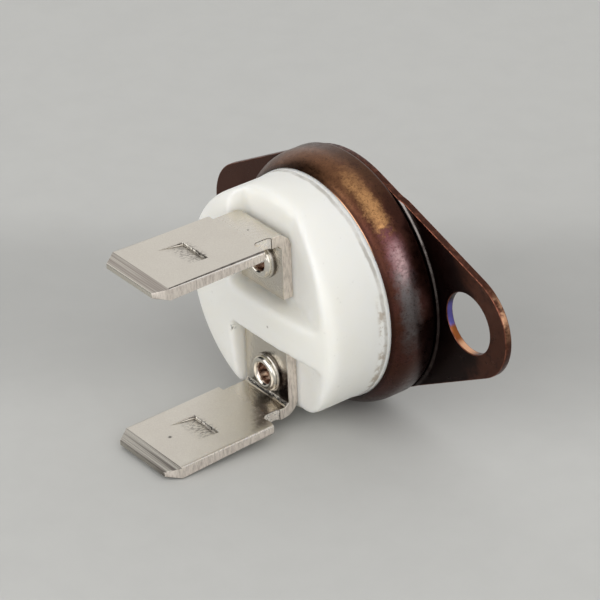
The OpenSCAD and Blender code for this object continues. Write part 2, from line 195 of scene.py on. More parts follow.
# Lamps in metres: the way up, right and near from the part's middle, and the width
MIDDLE = Vector((0, 0, 9 * MM))
LAMPS = {
    "key": ((0.40, -0.30, 0.25), 0.4),
    "front": ((0.24, 0.22, 0.42), 0.7),
    "side": ((0.14, -0.43, 0.30), 0.8),
}

# Room: the ways up, right and near to its open side and dark corner, and how the light changes towards them
OPEN_WAY = (0.35, 0.0, -0.94)
OPEN_LIGHT = (-0.6, 0.9, 0.85, 1.55)
DARK_WAY = (0.36, -0.89, -0.30)
DARK_LIGHT = (0.85, 0.93, 1.0, 0.03)

# Floor: size in metres, and a belt of painted shade by its distance from the part's foot in millimetres
FLOOR_RADIUS = 1.5
FLOOR_SIDES = 96
FLOOR_SHADE_BELT = (-32, -22, -13, 2)
FLOOR_FLECK = (0.3, 0.3, 0.29)

# Camera's sensor in millimetres, and how near and far it sees in metres
SENSOR_WIDTH = 36
SEEN = (0.01, 10)

bl_info = {
    "name": "Bimetal thermostat",
    "version": (1, 0, 0),
    "blender": (4, 5, 0),
    "location": "3D View > Sidebar > Thermostat",
    "description": "Finishes the pieces of a bimetal disc thermostat and sets its stage",
    "category": "Object",
}


def colour_prop(name, description, value):
    """A linear colour that a user may change."""
    return FloatVectorProperty(name=name, description=description, default=value, subtype="COLOR", size=3,
                               min=0.0, max=1.0)


def length_prop(name, description, value):
    """A length in metres that a user may change."""
    return FloatProperty(name=name, description=description, default=value, unit="LENGTH", precision=6,
                         min=0.0)


def power_prop(name, description, value):
    """A lamp's power in watts that a user may change."""
    return FloatProperty(name=name, description=description, default=value, unit="POWER", min=0.0)


class CeramicSettings(bpy.types.PropertyGroup):
    """Sizes and colours of the ceramic body"""
    grain: length_prop("Grain", "Mesh size of the softened body", 0.00012)
    soften: IntProperty(name="Soften", description="Passes that round the fired edges", default=42, min=0)
    white: colour_prop("White", "Colour of the clean ceramic", (0.85, 0.843, 0.80))
    shade: colour_prop("Shade", "Colour of its cloudy patches", (0.84, 0.83, 0.775))
    grime: colour_prop("Grime", "Colour of the handling marks near the rim", (0.36, 0.33, 0.29))


class CopperSettings(bpy.types.PropertyGroup):
    """Sizes and colours of the heat-tinted copper"""
    edge: length_prop("Edge", "Rounding of the flange's sheared edges", 0.00005)
    gold: colour_prop("Gold", "Straw tint of the bead", (0.63, 0.33, 0.14))
    copper: colour_prop("Copper", "Bare copper where the tint is rubbed off", (0.72, 0.40, 0.24))
    violet: colour_prop("Violet", "Purple tint", (0.17, 0.065, 0.075))
    steel: colour_prop("Steel", "Grey-blue tint", (0.135, 0.12, 0.12))
    brown: colour_prop("Brown", "Brown oxide", (0.088, 0.033, 0.021))
    soot: colour_prop("Soot", "Darkest oxide", (0.017, 0.008, 0.007))


class TabSettings(bpy.types.PropertyGroup):
    """Sizes and colours of the tabs and rivets"""
    edge: length_prop("Edge", "Rounding of the tabs' small edges", 0.00004)
    roll: length_prop("Roll", "Rounding of the tabs' long sheared edges", 0.0002)
    nickel: colour_prop("Nickel", "Colour of the plating", (0.68, 0.64, 0.565))
    shear: colour_prop("Shear", "Light streaks of the sheared edges", (0.78, 0.71, 0.64))
    tear: colour_prop("Tear", "Dark streaks of the sheared edges", (0.50, 0.44, 0.39))


class StageSettings(bpy.types.PropertyGroup):
    """Floor, light and camera"""
    floor: colour_prop("Floor", "Colour of the floor", (0.548, 0.546, 0.525))
    lie: FloatProperty(name="Lie", description="Tilt of the axis against the floor", subtype="ANGLE",
                       default=math.radians(2.72))
    key: power_prop("Key", "Power of the overhead lamp", 0.05)
    front: power_prop("Front", "Power of the lamp in front, at the right", 1.22)
    side: power_prop("Side", "Power of the lamp at the left", 2.45)
    world: FloatProperty(name="World", description="Strength of the room's light", default=0.72, min=0.0)
    eye: FloatVectorProperty(name="Eye", description="Place of the camera", subtype="TRANSLATION", size=3,
                             precision=6, default=(0.167707, 0.100308, 0.120225))
    aim: FloatVectorProperty(name="Aim", description="Turn of the camera", subtype="EULER", size=3,
                             default=(math.radians(-33.2728), math.radians(52.7618), math.radians(-8.4263)))
    lens: FloatProperty(name="Lens", description="Focal length on a 36 mm sensor", default=206.15, min=1.0)


class ThermostatSettings(bpy.types.PropertyGroup):
    """All settings of the thermostat"""
    ceramic: PointerProperty(type=CeramicSettings)
    copper: PointerProperty(type=CopperSettings)
    tabs: PointerProperty(type=TabSettings)
    stage: PointerProperty(type=StageSettings)


class ShaderTree:
    """Adds and joins the nodes of a shader."""

    def __init__(self, tree):
        self.tree = tree

    def add(self, kind, **settings):
        node = self.tree.nodes.new(kind)
        for key, value in settings.items():
            setattr(node, key, value)
        return node

    def join(self, source, target):
        """Links a socket to another, or sets a plain value on it."""
        if hasattr(source, "links"):
            self.tree.links.new(source, target)
        else:
            target.default_value = source

    def maths(self, operation, *values):
        node = self.add("ShaderNodeMath", operation=operation)
        for socket, value in zip(node.inputs, values):
            self.join(value, socket)
        return node.outputs["Value"]

    def measure(self, operation, place, other):
        """A number from a place and a fixed point or direction."""
        node = self.add("ShaderNodeVectorMath", operation=operation)
        self.join(place, node.inputs[0])
        node.inputs[1].default_value = other
        return node.outputs["Value"]

    def span(self, value, low, high, to_low=0.0, to_high=1.0):
        """The value from low..high to to_low..to_high, smooth and clamped."""
        node = self.add("ShaderNodeMapRange", interpolation_type="SMOOTHSTEP")
        self.join(value, node.inputs["Value"])
        for socket, number in zip(("From Min", "From Max", "To Min", "To Max"), (low, high, to_low, to_high)):
            node.inputs[socket].default_value = number
        return node.outputs["Result"]

    def either(self, factor, first, second, target):
        """Sends the first shader to the output, or the second where the factor is 1."""
        blend = self.add("ShaderNodeMixShader")
        for socket, source in zip(blend.inputs, (factor, first, second)):
            self.join(source, socket)
        self.join(blend.outputs["Shader"], target)


class Finish(ShaderTree):
    """A material built node by node on Object coordinates in millimetres."""

    # Sockets of a Mix node for colours: factor, first and second colour, and the result
    MIX_IN = (0, 6, 7)
    MIX_OUT = 2

    def __init__(self, name, **constants):
        self.material = bpy.data.materials.new(name)
        self.material.use_nodes = True
        super().__init__(self.material.node_tree)
        self.shader = self.tree.nodes["Principled BSDF"]
        scale = self.add("ShaderNodeMapping")
        scale.inputs["Scale"].default_value = (1 / MM, 1 / MM, 1 / MM)
        self.join(self.add("ShaderNodeTexCoord").outputs["Object"], scale.inputs["Vector"])
        self.place = scale.outputs["Vector"]
        for socket, value in constants.items():
            self.shader.inputs[socket.replace("_", " ")].default_value = value

    def moved(self, turn=(0, 0, 0), scale=(1, 1, 1), offset=(0, 0, 0)):
        """The place after a turn, a stretch and a shift, in millimetres."""
        node = self.add("ShaderNodeMapping")
        self.join(self.place, node.inputs["Vector"])
        node.inputs["Rotation"].default_value = turn
        node.inputs["Scale"].default_value = scale
        node.inputs["Location"].default_value = offset
        return node.outputs["Vector"]

    def noise(self, scale, detail=3.0, rough=0.55, place=None):
        """A cloudy pattern from 0 to 1, with the scale in cells per millimetre."""
        node = self.add("ShaderNodeTexNoise")
        self.join(place or self.place, node.inputs["Vector"])
        node.inputs["Scale"].default_value = scale
        node.inputs["Detail"].default_value = detail
        node.inputs["Roughness"].default_value = rough
        return node.outputs["Fac"]

    def axis(self, name, place=None):
        node = self.add("ShaderNodeSeparateXYZ")
        self.join(place or self.place, node.inputs["Vector"])
        return node.outputs[name]

    def band(self, value, start, full, fade, end):
        """1 from full to fade, falling to 0 at start and end."""
        return self.maths("MULTIPLY", self.span(value, start, full), self.span(value, end, fade))

    def bearing(self):
        """Angle about the body's axis, in degrees."""
        return self.maths("DEGREES", self.maths("ARCTAN2", self.axis("Y"), self.axis("X")))

    def radius(self):
        """Distance from the body's axis, in millimetres."""
        flat = self.add("ShaderNodeVectorMath", operation="LENGTH")
        self.join(self.moved(scale=(1, 1, 0)), flat.inputs[0])
        return flat.outputs["Value"]

    def near(self, point, radius):
        """1 at a point in millimetres, 0 from the radius on."""
        return self.span(self.measure("DISTANCE", self.place, point), radius, 0.0)

    def mixed(self, factor, first, second):
        """The first colour, or the second where the factor is 1."""
        node = self.add("ShaderNodeMix", data_type="RGBA")
        for socket, value in zip(self.MIX_IN, (factor, first, second)):
            self.join((*value, 1.0) if isinstance(value, (tuple, list)) else value, node.inputs[socket])
        return node.outputs[self.MIX_OUT]

    def colour(self, source):
        self.join(source, self.shader.inputs["Base Color"])

    def gloss(self, source):
        self.join(source, self.shader.inputs["Roughness"])

    def relief(self, height, strength, distance):
        """Bump from a height, with the distance in millimetres."""
        node = self.add("ShaderNodeBump")
        node.inputs["Strength"].default_value = strength
        node.inputs["Distance"].default_value = distance * MM
        self.join(height, node.inputs["Height"])
        self.join(node.outputs["Normal"], self.shader.inputs["Normal"])


def rgb(value):
    """A colour setting as a plain tuple."""
    return tuple(value)


def ceramic_finish(s):
    """White ceramic that scatters light, with a dirt line round its foot and a small chip."""
    f = Finish("Fired ceramic", Subsurface_Weight=0.75, Subsurface_Scale=0.0013,
               Subsurface_Radius=(1.0, 0.95, 0.85))
    base = f.mixed(f.span(f.noise(0.28, 3, 0.5), 0.42, 0.68), rgb(s.white), rgb(s.shade))
    base = f.mixed(f.span(f.noise(2.6, 3, 0.55), 0.66, 0.76, 0.0, 0.16), base, rgb(s.grime))
    height = f.axis("Z")
    wavy = f.maths("ADD", height, f.span(f.noise(0.7, 3, 0.6), 0.3, 0.7, -0.04, 0.04))
    broken = f.span(f.noise(0.5, 3, 0.6), 0.35, 0.65, 0.3, 0.75)
    base = f.mixed(f.maths("MULTIPLY", f.band(wavy, *FOOT_LINE), broken), base, rgb(s.grime))
    dirt = f.maths("MULTIPLY", f.band(height, *FOOT_DIRT_HIGH), f.band(f.bearing(), *FOOT_DIRT_ROUND))
    dirt = f.maths("MULTIPLY", dirt, f.span(f.noise(1.6, 5, 0.7), 0.45, 0.62, 0.0, 0.75))
    base = f.mixed(dirt, base, FOOT_DIRT)
    chip = f.maths("MULTIPLY", f.near(CHIP_AT, CHIP_SIZE), f.span(f.noise(4.0, 2, 0.5), 0.5, 0.56))
    base = f.mixed(chip, base, CHIP)
    base = f.mixed(f.near(SPECK_AT, SPECK_SIZE), base, rgb(s.grime))
    f.colour(base)
    f.gloss(f.span(f.noise(0.9, 4, 0.6), 0.3, 0.7, 0.38, 0.52))
    f.relief(f.noise(2.2, 5, 0.6), 0.08, 0.05)
    return f.material


def bead_finish(s):
    """Copper cap tinted by heat: tan and brown round the bead, gold, violet and grey-blue tints laid as
    painted highlights and sheen, and painted shade on its lower side.
    """
    f = Finish("Heat-tinted copper", Metallic=1.0)
    turn = f.maths("ADD", f.bearing(), f.span(f.noise(1.5, 6, 0.75), 0.25, 0.75, -6.0, 6.0))
    high = f.maths("ADD", f.axis("Z"), f.span(f.noise(1.6, 6, 0.75), 0.25, 0.75, -0.22, 0.22))
    # Height belt in which the painted violet highlight and grey-blue sheen are laid
    belt = f.band(high, *BEAD_HIGHLIGHT_BELT)
    patch = f.span(f.noise(0.3, 5, 0.65), 0.4, 0.7, 0.0, 0.35)
    tint = f.mixed(patch, rgb(s.brown), rgb(s.violet))
    tan = tuple(0.15 * a + 0.85 * b for a, b in zip(s.gold, s.brown))
    outer = f.span(f.radius(), *BEAD_OUTSIDE)
    tint = f.mixed(f.maths("MULTIPLY", f.band(turn, *TAN_ROUND), outer), tint, tan)
    # Painted highlight: straw gold tint in a narrow belt at the bearings where the overhead light reflects
    streak = f.band(high, *GOLD_HIGHLIGHT_HIGH)
    streak = f.maths("MULTIPLY", streak, f.span(f.noise(9.0, 4, 0.7), 0.3, 0.6, 0.65, 1.0))
    tint = f.mixed(f.maths("MULTIPLY", f.band(turn, *GOLD_HIGHLIGHT_ROUND), streak), tint, rgb(s.gold))
    # Painted highlight in violet and painted grey-blue sheen, at the bearings where the front light reflects
    tint = f.mixed(f.maths("MULTIPLY", f.band(turn, *VIOLET_HIGHLIGHT_ROUND), belt), tint, rgb(s.violet))
    tint = f.mixed(f.maths("MULTIPLY", f.band(turn, *STEEL_SHEEN_ROUND), belt), tint, rgb(s.steel))
    tint = f.mixed(f.span(f.noise(1.2, 6, 0.7), 0.48, 0.74, 0.0, 0.6), tint, rgb(s.brown))
    # Painted highlight: a small pale pink patch where the front light reflects
    pink_highlight = f.maths("MULTIPLY", f.band(f.bearing(), *PINK_HIGHLIGHT_ROUND), f.band(f.axis("Z"), *PINK_HIGHLIGHT_HIGH))
    pink_highlight = f.maths("MULTIPLY", pink_highlight, f.span(f.noise(4.0, 5, 0.7), 0.35, 0.6, 0.35, 0.9))
    tint = f.mixed(pink_highlight, tint, PINK_HIGHLIGHT)
    tint = f.mixed(f.span(f.noise(7.0, 4, 0.7), 0.5, 0.68, 0.0, 0.5), tint, rgb(s.soot))
    tint = f.mixed(f.span(f.axis("Z"), *SOOT_TOP, 0.0, 0.55), tint, rgb(s.soot))
    tint = f.mixed(f.maths("MULTIPLY", f.span(high, *SOOT_FOOT, 0.0, 0.55), outer), tint, rgb(s.soot))
    # Painted shade: soot laid over the lower side of the bead
    tint = f.mixed(f.maths("MULTIPLY", f.band(turn, *SHADE_ROUND), 0.3), tint, rgb(s.soot))
    # Bare copper on the lip, shown only at the bearings where it catches the light, as a painted glint
    lip = f.maths("MULTIPLY", f.span(f.axis("Z"), *LIP_GLINT_HIGH), f.band(f.bearing(), *LIP_GLINT_ROUND))
    tint = f.mixed(lip, tint, rgb(s.copper))
    f.colour(tint)
    f.gloss(f.span(f.noise(2.5, 5, 0.65), 0.3, 0.72, 0.26, 0.4))
    f.relief(f.noise(7.0, 4, 0.65), 0.14, 0.02)
    return f.material


def flange_finish(s):
    """Dark oxide on the flange's faces, brown on the ears, with a painted grey highlight round the raised
    centre.
    """
    f = Finish("Oxidised copper sheet", Metallic=1.0)
    reach = f.maths("ADD", f.radius(), f.span(f.noise(0.5, 4, 0.6), 0.3, 0.7, -0.9, 0.9))
    tint = f.mixed(f.span(reach, *EAR_RADIUS), rgb(s.soot), rgb(s.brown))
    tint = f.mixed(f.span(f.noise(1.4, 5, 0.65), 0.5, 0.75, 0.0, 0.6), tint, rgb(s.soot))
    tint = f.mixed(f.span(f.axis("X"), *FAR_EAR, 0.0, 0.85), tint, rgb(s.brown))
    broken = f.span(f.noise(1.5, 5, 0.65), 0.35, 0.6, 0.2, 0.8)
    # Painted highlight: a grey line round the raised centre's edge, widened into a wedge and strongest at the
    # upper bearings
    line = f.maths("MULTIPLY", f.band(f.radius(), *RIDGE_HIGHLIGHT_RADIUS), broken)
    highlight_wedge = f.maths("MULTIPLY", f.band(f.radius(), *HIGHLIGHT_WEDGE_RADIUS), f.band(f.bearing(), *HIGHLIGHT_WEDGE_ROUND))
    line = f.maths("MAXIMUM", line, f.maths("MULTIPLY", highlight_wedge, 0.8))
    rub = f.maths("MULTIPLY", line, f.span(f.bearing(), *RIDGE_HIGHLIGHT_ROUND, 0.1, 1.0))
    tint = f.mixed(rub, tint, HIGHLIGHT_GREY)
    f.colour(tint)
    f.gloss(f.span(f.noise(1.2, 5, 0.65), 0.3, 0.72, 0.26, 0.42))
    f.relief(f.noise(4.0, 4, 0.6), 0.12, 0.02)
    return f.material


def torn_copper(s):
    """Sheared edge and hole walls of the flange: brown, with a painted copper highlight on a corner of the
    ear, tinted in the holes.
    """
    f = Finish("Sheared copper", Metallic=1.0)
    fleck = f.span(f.noise(2.4, 5, 0.7), 0.45, 0.7)
    tint = f.mixed(fleck, tuple(0.7 * c for c in s.brown), tuple(1.6 * c for c in s.brown))
    # Painted highlight: bare copper's colour in a patch on the ear's corner
    bright = f.maths("MULTIPLY", f.near(EAR_GLINT_AT, EAR_GLINT_SIZE), f.span(f.noise(1.7, 4, 0.65), 0.36, 0.6))
    tint = f.mixed(bright, tint, rgb(s.copper))
    hole = f.band(f.axis("X"), *HOLE_ALONG)
    low = f.axis("Y")
    inside = f.mixed(f.span(low, *HOLE_ORANGE_AT), HOLE_BLUE, HOLE_ORANGE)
    inside = f.mixed(f.span(low, *HOLE_COPPER_AT), inside, rgb(s.copper))
    inside = f.mixed(f.span(low, *HOLE_SOOT_AT), inside, rgb(s.soot))
    tint = f.mixed(f.maths("MULTIPLY", hole, f.span(f.maths("ABSOLUTE", low), *HOLE_HALF)), tint, inside)
    f.colour(tint)
    f.gloss(f.span(fleck, 0.0, 1.0, 0.42, 0.28))
    f.relief(f.noise(6.0, 4, 0.65), 0.2, 0.02)
    return f.material


def edge_rub_and_light_finish(name, bright, dark, metallic=1.0):
    """Thin line along an edge in two shades: rubbed copper on the flange, painted highlight and painted shade
    on the tabs.
    """
    f = Finish(name, Metallic=metallic)
    rub = f.span(f.noise(2.2, 4, 0.65), 0.36, 0.6)
    f.colour(f.mixed(rub, dark, bright))
    f.gloss(f.span(rub, 0.0, 1.0, 0.4, 0.2))
    return f.material


def shear_finish(s):
    """Sheared sheet edge: streaks across the thickness."""
    f = Finish("Sheared nickel", Metallic=0.6)
    streak = f.noise(1.0, 6, 0.7, f.moved(turn=(0, 0, -TURN), scale=(3.0, 1.4, 7.0)))
    f.colour(f.mixed(f.span(streak, 0.3, 0.62), rgb(s.tear), rgb(s.shear)))
    f.gloss(f.span(streak, 0.3, 0.7, 0.5, 0.36))
    f.relief(streak, 0.12, 0.02)
    return f.material


def nickel_finish(s):
    """Plating: bright feet, satin tabs, scored behind the detents, with a painted dark reflection at the
    lower tab's bend.
    """
    f = Finish("Nickel plate", Metallic=1.0)
    base = f.mixed(f.span(f.noise(0.5, 4, 0.6), 0.3, 0.7, 0.0, 0.12), rgb(s.nickel), rgb(s.tear))
    base = f.mixed(f.span(f.noise(7.0, 3, 0.65), 0.66, 0.76, 0.0, 0.35), base, rgb(s.tear))
    base = f.mixed(f.span(f.noise(11.0, 4, 0.7), 0.35, 0.65, 0.0, 0.3), base, rgb(s.tear))
    row = f.moved(turn=(0, 0, -TURN))
    score = f.span(f.noise(1.0, 5, 0.7, f.moved(turn=(0, 0, -TURN), scale=(7, 1, 4))), 0.47, 0.6)
    behind = f.band(f.axis("Z"), *SCORE_HIGH)
    where = f.maths("MULTIPLY", behind, f.band(f.axis("X", row), *SCORE_ACROSS))
    base = f.mixed(f.maths("MULTIPLY", f.maths("MULTIPLY", score, where), 0.62), base, SCORE)
    for place, size in NICKS:
        base = f.mixed(f.near(place, size), base, NICK)
    # Painted reflection: a dark slanted streak across the lower tab's bend
    slant = f.maths("SUBTRACT", f.axis("Z"), f.maths("MULTIPLY", f.axis("X"), REFLECTION_SLANT))
    slant = f.maths("ADD", slant, f.span(f.noise(2.6, 5, 0.7), 0.25, 0.75, -0.18, 0.18))
    painted_reflection = f.maths("MULTIPLY", f.band(slant, *REFLECTION_HIGH), f.band(f.axis("X"), *REFLECTION_ACROSS))
    painted_reflection = f.maths("MULTIPLY", painted_reflection, f.band(f.axis("Y", row), *REFLECTION_FACE))
    painted_reflection = f.maths("MULTIPLY", painted_reflection, 0.8)
    # Painted reflection: a dark patch beside the lower tab's root
    side = f.maths("MULTIPLY", f.span(f.axis("X", row), *ROOT_REFLECTION_ACROSS), f.band(f.axis("Y", row), *ROOT_REFLECTION_ALONG))
    painted_reflection = f.maths("MAXIMUM", painted_reflection, f.maths("MULTIPLY", side, f.span(f.axis("Z"), *ROOT_REFLECTION_HIGH)))
    painted_reflection = f.maths("MULTIPLY", painted_reflection, f.span(f.noise(5.0, 4, 0.7), 0.3, 0.5, 0.55, 1.0))
    base = f.mixed(painted_reflection, base, DARK_REFLECTION)
    f.colour(base)
    satin = f.span(f.axis("Z"), *SATIN_HIGH, 0.09, 0.36)
    f.gloss(f.maths("ADD", satin, f.span(f.noise(2.5, 4, 0.6), 0.3, 0.7, -0.02, 0.02)))
    dent = f.maths("MULTIPLY", f.noise(3.0, 5, 0.65), f.span(f.axis("Z"), *DENT_HIGH, 0.1, 1.0))
    f.relief(dent, 0.6, 0.05)
    return f.material


def struck_finish(name, s, dark, scale, depth, shine=1.0):
    """Plating marked by a tool: fine dark lines in one direction, with a share of its shine left."""
    f = Finish(name, Metallic=1.0)
    line = f.noise(1.0, 3, 0.6, f.moved(turn=(0, 0, -TURN), scale=scale))
    f.colour(f.mixed(f.span(line, 0.4, 0.62), dark, tuple(shine * c for c in s.nickel)))
    f.gloss(f.span(line, 0.3, 0.7, 0.4, 0.24))
    f.relief(line, 0.4, depth)
    return f.material


def rivet_finish(name, s, middle, top):
    """Bright rolled lip, a painted dark reflection on the collar under it, warmer in the hollow end."""
    f = Finish(name, Metallic=1.0)
    fleck = f.noise(3.0, 4, 0.6)
    base = f.mixed(f.span(fleck, 0.3, 0.7), rgb(s.nickel), RIVET_LIP)
    # Painted reflection: the collar under the lip darkened
    under = f.maths("SUBTRACT", top, f.axis("Z"))
    base = f.mixed(f.span(under, *COLLAR_REFLECTION_DEPTH, 0.0, 0.8), base, COLLAR_REFLECTION)
    out = f.measure("DISTANCE", f.moved(scale=(1, 1, 0)), (middle.x / MM, middle.y / MM, 0))
    hollow = f.mixed(f.span(f.noise(1.6, 4, 0.65), 0.4, 0.6), BORE_LIGHT, BORE_BROWN)
    f.colour(f.mixed(f.span(out, *BORE_RADIUS), base, hollow))
    f.gloss(f.span(fleck, 0.3, 0.7, 0.12, 0.2))
    f.relief(fleck, 0.1, 0.02)
    return f.material


def plain_finish(name, shades, metallic, rough, scale=1.5, stretch=(1, 1, 1)):
    """Finish of an inner piece: two shades in a fine pattern, with roughness and bump from it."""
    light, dark = shades
    f = Finish(name, Metallic=metallic)
    pattern = f.noise(scale, 4, 0.6, f.moved(turn=(0, 0, -TURN), scale=stretch))
    f.colour(f.mixed(f.span(pattern, 0.3, 0.7), dark, light))
    f.gloss(f.span(pattern, 0.3, 0.7, *rough))
    f.relief(pattern, 0.12, 0.02)
    return f.material


def node_mesh(name):
    """A copy of a CAD node's mesh with its loose triangles welded together."""
    bm = bmesh.new()
    bm.from_mesh(NODES[name].data)
    bmesh.ops.remove_doubles(bm, verts=bm.verts, dist=WELD)
    return bm


def flat_faces(bm, limit=1.0):
    """Joins triangles that lie in one plane, within a limit in degrees."""
    bmesh.ops.dissolve_limit(bm, angle_limit=math.radians(limit), verts=bm.verts, edges=bm.edges)


def bevelled(bm, edges, width, segments=2):
    """Rounds edges and gives the new faces."""
    made = bmesh.ops.bevel(bm, geom=edges, offset=width, offset_type="OFFSET", affect="EDGES",
                           segments=segments, profile=0.5, material=-1, clamp_overlap=False)
    return made["faces"]


def sharp_edges(bm, angle):
    """Edges whose two faces turn by more than an angle in degrees."""
    return [e for e in bm.edges if len(e.link_faces) == 2 and e.calc_face_angle(0.0) > math.radians(angle)]


def new_piece(name, bm, materials=()):
    """A new object in the scene from a mesh in the making."""
    mesh = bpy.data.meshes.new(name)
    bm.to_mesh(mesh)
    bm.free()
    for material in materials:
        mesh.materials.append(material)
    piece = bpy.data.objects.new(name, mesh)
    bpy.context.scene.collection.objects.link(piece)
    return piece


def finished(name, bm, materials, node, angle=35.0, body="case"):
    """Makes the piece that stands for a node of a body, with the materials given."""
    for face in bm.faces:
        face.smooth = True
    piece = new_piece(name, bm, materials)
    piece.data.set_sharp_from_angle(angle=math.radians(angle))
    if angle < 90.0:
        level = piece.modifiers.new("Level", "WEIGHTED_NORMAL")
        level.keep_sharp = True
        level.weight = 100
    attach(piece, body)
    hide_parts(node)


def dress(node, material):
    """Gives a CAD node its material."""
    mesh = NODES[node].data
    mesh.materials.clear()
    mesh.materials.append(material)


class THERMOSTAT_OT_ceramic(bpy.types.Operator):
    """Softens the ceramic body's fired edges and whitens it"""
    bl_idname = "thermostat.ceramic"
    bl_label = "Ceramic body"

    def execute(self, context):
        s = context.scene.thermostat.ceramic
        rough = new_piece("fired_body", node_mesh("ceramic_body"))
        remesh = rough.modifiers.new("Grain", "REMESH")
        remesh.mode = "VOXEL"
        remesh.voxel_size = s.grain
        smooth = rough.modifiers.new("Soften", "SMOOTH")
        smooth.factor = 0.5
        smooth.iterations = s.soften
        soft = bmesh.new()
        soft.from_object(rough, context.evaluated_depsgraph_get())
        bpy.data.objects.remove(rough)
        if not soft.faces:
            raise RuntimeError("the ceramic body came out empty")
        finished("ceramic_shell", soft, [ceramic_finish(s)], "ceramic_body", angle=180.0)
        return {"FINISHED"}


class THERMOSTAT_OT_copper(bpy.types.Operator):
    """Tints the cap and rounds and tints the mounting flange"""
    bl_idname = "thermostat.copper"
    bl_label = "Cap and flange"

    def execute(self, context):
        s = context.scene.thermostat.copper
        cap = node_mesh("sensing_cap")
        finished("cap_shell", cap, [bead_finish(s)], "sensing_cap", angle=40.0)
        sheet = node_mesh("mounting_flange")
        flat_faces(sheet)
        for face in sheet.faces:
            face.material_index = SHEET_WALL if abs(face.normal.z) < SHEET_LEAN else SHEET_FACE
        for face in bevelled(sheet, sharp_edges(sheet, 50.0), s.edge):
            face.material_index = SHEET_EDGE
        rub = edge_rub_and_light_finish("Rubbed copper", tuple(3.0 * c for c in s.brown), rgb(s.brown))
        finished("flange_sheet", sheet, [flange_finish(s), torn_copper(s), rub], "mounting_flange")
        return {"FINISHED"}


class THERMOSTAT_OT_tabs(bpy.types.Operator):
    """Rounds the edges of the two tabs and plates them"""
    bl_idname = "thermostat.tabs"
    bl_label = "Tabs"

    def long_edge(self, edge):
        """Whether an edge runs along the blade between its face and its sheared side."""
        sides = sorted(abs(face.normal.dot(ACROSS)) for face in edge.link_faces)
        way = (edge.verts[1].co - edge.verts[0].co).normalized()
        square = sides[0] < SKEWED and sides[1] > SQUARE
        return square and abs(way.z) > SQUARE and edge.calc_length() > LONG_EDGE

    def face_finish(self, face, tip, tip_finish):
        """Which finish a face of the sharp tab gets, by its place and the way it looks."""
        place, side = face.calc_center_median(), face.normal.dot(ACROSS)
        off = place.dot(ACROSS)
        in_detent = abs(off + DETENT_SHIFT) < DETENT_HALF and side > DETENT_ACROSS
        # Painted shade on the detent's wall that faces across the tab
        if in_detent and tip - DETENT_DEPTH < place.z < tip - DETENT_TOP:
            return PAINTED_SHADE
        # Painted highlight on the face of the neck's notch
        if NECK_LOW < place.z < NECK_HIGH and off < NECK_HALF and side > SHEARED_ACROSS:
            return PAINTED_HIGHLIGHT
        if abs(side) > SHEARED_ACROSS:
            return SHEAR
        if abs(face.normal.z) > TIP_ALONG and place.z > tip - TIP_DEPTH:
            return tip_finish
        if abs(face.normal.z) > DETENT_ALONG and place.z > tip - DETENT_DEPTH:
            return STRUCK_DETENT
        return PLATE

    def execute(self, context):
        s = context.scene.thermostat.tabs
        dark = tuple(0.2 * c for c in s.tear)
        dull = tuple(0.7 * c for c in s.tear)
        finishes = [nickel_finish(s), shear_finish(s), struck_finish("Struck tip", s, dull, TIP_LINES, 0.02),
                    struck_finish("Struck detent", s, dark, DETENT_LINES, 0.04),
                    # Painted highlight along the burr and the neck's notch, and painted shade on edges, the
                    # detent's wall and the neck
                    edge_rub_and_light_finish("Bright burr", HIGHLIGHT_WHITE, rgb(s.shear), metallic=0.7),
                    edge_rub_and_light_finish("Rolled edge", tuple(2 * c for c in dark), dark),
                    # A darker copy of the struck tip, for the lower tab
                    struck_finish("Worn tip", s, tuple(1.6 * c for c in dark), TIP_LINES, 0.02, shine=0.72)]
        tip = max(v.co.z for v in NODES["terminal_a"].data.vertices)
        for node, (tip_finish, near_edge) in TAB_TIP_AND_EDGE.items():
            bm = node_mesh(node)
            flat_faces(bm)
            for face in bm.faces:
                face.material_index = self.face_finish(face, tip, tip_finish)
            rolled = [edge for edge in sharp_edges(bm, 60.0) if self.long_edge(edge)]
            # Long rolled edges: painted highlight on the side facing across, painted shade on the upper tab's
            # near edge
            for face in bevelled(bm, rolled, s.roll, segments=3):
                side = face.normal.dot(ACROSS)
                face.material_index = PAINTED_HIGHLIGHT if side > HIGHLIGHT_ACROSS else near_edge if side > 0.0 else PLATE
            # Painted shade on the small rounded edges about the neck
            for face in bevelled(bm, sharp_edges(bm, 35.0), s.edge, segments=1):
                if NECK_LOW < face.calc_center_median().z < NECK_HIGH:
                    face.material_index = PAINTED_SHADE
            finished(node.replace("terminal", "tab"), bm, finishes, node)
        return {"FINISHED"}


class THERMOSTAT_OT_rivets(bpy.types.Operator):
    """Plates the two rivets"""
    bl_idname = "thermostat.rivets"
    bl_label = "Rivets"

    def execute(self, context):
        s = context.scene.thermostat.tabs
        for node in ("rivet_a", "rivet_b"):
            low, high = (Vector(corner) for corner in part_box(node))
            bright = rivet_finish("Rivet nickel " + node[-1], s, (low + high) / 2, high.z / MM)
            finished(node.replace("rivet", "clinch"), node_mesh(node), [bright], node, angle=40.0)
        return {"FINISHED"}


